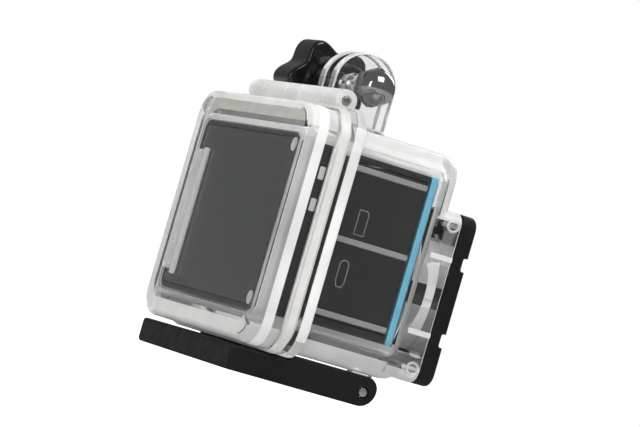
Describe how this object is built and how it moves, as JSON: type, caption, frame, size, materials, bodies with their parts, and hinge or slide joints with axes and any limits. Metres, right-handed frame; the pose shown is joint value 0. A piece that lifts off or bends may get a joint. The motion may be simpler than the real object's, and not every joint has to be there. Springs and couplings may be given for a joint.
{
  "type": "action camera in waterproof housing",
  "caption": "Compact action camera with a rear screen module inside a clear hinged waterproof housing with latch, push buttons, mounting ears and thumbscrew.",
  "frame": {"origin": "bottom centre of the bounding box, on the latch's resting face", "axes": "-Y the way the lens looks, +Y towards the screen and the hinged door, +Z from the latch to the mounting ears, so the camera is upside down as it hangs in use; +X towards the power button and the knob"},
  "size_m": [0.07, 0.0456, 0.0767],
  "materials": {
    "clear": "clear moulded polycarbonate with bright edges",
    "port_glass": "polished glass",
    "matte_black": "finely textured black plastic",
    "gloss_black": "glossy black plastic",
    "charcoal": "satin charcoal plastic",
    "grey": "matte grey plastic",
    "blue": "blue painted trim",
    "silicone": "pale translucent silicone",
    "rubber": "black rubber",
    "chrome": "polished",
    "steel": "satin stainless steel",
    "circuit_board": "green solder mask",
    "display": "dark display",
    "battery": "wrapped cell"
  },
  "bodies": {
    "housing": {"battery": "battery", "battery_door": "charcoal", "camera_body": "charcoal", "card_socket": "steel", "data_port": "steel", "door_hinge_pin": "steel", "front_lens": "port_glass", "front_plate": "charcoal", "front_trim": "blue", "housing_shell": "clear", "image_sensor": "display", "latch_pin_1": "steel", "latch_pin_2": "steel", "lens_barrel": "gloss_black", "lens_bezel": "gloss_black", "link_connector": "gloss_black", "main_board": "circuit_board", "memory_card": "gloss_black", "port_frame": "matte_black", "port_screw_1": "steel", "port_screw_2": "steel", "port_screw_3": "steel", "port_screw_4": "steel", "port_seal": "rubber", "port_window": "port_glass", "power_seal": "rubber", "power_spring": "steel", "rear_lens": "port_glass", "screen_board": "circuit_board", "screen_case": "matte_black", "screen_glass": "port_glass", "screen_panel": "display", "sensor_board": "circuit_board", "shutter_seal": "rubber", "shutter_spring": "steel", "side_door": "charcoal", "side_seal": "rubber", "side_spring": "steel", "speaker": "gloss_black", "status_display": "display", "status_light": "port_glass", "video_port": "steel"},
    "back_door": {"back_door": "clear", "door_seal": "silicone"},
    "latch": {"latch": "matte_black"},
    "latch_lock": {"latch_lock": "grey"},
    "shutter_button": {"shutter_plunger": "matte_black", "shutter_clip": "steel"},
    "power_button": {"power_plunger": "matte_black", "power_clip": "steel"},
    "side_button": {"side_plunger": "matte_black", "side_clip": "steel"},
    "camera_shutter_key": {"camera_shutter_button": "charcoal"},
    "camera_power_key": {"camera_power_button": "charcoal"},
    "camera_side_key": {"camera_side_button": "charcoal"},
    "thumbscrew": {"thumb_knob": "gloss_black", "thumb_bolt": "steel"},
    "nut": {"acorn_nut": "chrome"}
  },
  "joints": [
    {"name": "back_door_swing", "type": "hinge", "parent": "housing", "child": "back_door", "pos_m": [0, 0.01215, 0.0622], "axis": [1, 0, 0], "range_deg": [0, 110]},
    {"name": "latch_lift", "type": "hinge", "parent": "housing", "child": "latch", "pos_m": [0, -0.0097, 0.0031], "axis": [-1, 0, 0], "range_deg": [0, 100]},
    {"name": "latch_lock_slide", "type": "slide", "parent": "latch", "child": "latch_lock", "axis": [1, 0, 0], "range_m": [0, 0.003]},
    {"name": "shutter_press", "type": "slide", "parent": "housing", "child": "shutter_button", "axis": [0, 0, 1], "range_m": [0, 0.0006], "stiffness_N_per_m": 600, "springref_m": -0.001, "deforming": ["shutter_spring"]},
    {"name": "camera_shutter_press", "type": "slide", "parent": "housing", "child": "camera_shutter_key", "axis": [0, 0, 1], "range_m": [0, 0.0006], "stiffness_N_per_m": 400, "springref_m": -0.001},
    {"name": "power_press", "type": "slide", "parent": "housing", "child": "power_button", "axis": [0, 1, 0], "range_m": [0, 0.0006], "stiffness_N_per_m": 600, "springref_m": -0.001, "deforming": ["power_spring"]},
    {"name": "camera_power_press", "type": "slide", "parent": "housing", "child": "camera_power_key", "axis": [0, 1, 0], "range_m": [0, 0.0006], "stiffness_N_per_m": 400, "springref_m": -0.001},
    {"name": "side_press", "type": "slide", "parent": "housing", "child": "side_button", "axis": [-1, 0, 0], "range_m": [0, 0.0006], "stiffness_N_per_m": 600, "springref_m": -0.001, "deforming": ["side_spring"]},
    {"name": "camera_side_press", "type": "slide", "parent": "housing", "child": "camera_side_key", "axis": [-1, 0, 0], "range_m": [0, 0.0006], "stiffness_N_per_m": 400, "springref_m": -0.001},
    {"name": "thumbscrew_turn", "type": "hinge", "parent": "housing", "child": "thumbscrew", "pos_m": [0, 0, 0.068], "axis": [1, 0, 0], "continuous": true},
    {"name": "nut_turn", "type": "hinge", "parent": "thumbscrew", "child": "nut", "pos_m": [-0.01, 0, 0.068], "axis": [1, 0, 0], "continuous": true}
  ],
  "couplings": [
    {"joint": "camera_shutter_press", "follows": "shutter_press", "ratio": 1},
    {"joint": "camera_power_press", "follows": "power_press", "ratio": 1},
    {"joint": "camera_side_press", "follows": "side_press", "ratio": 1}
  ]
}
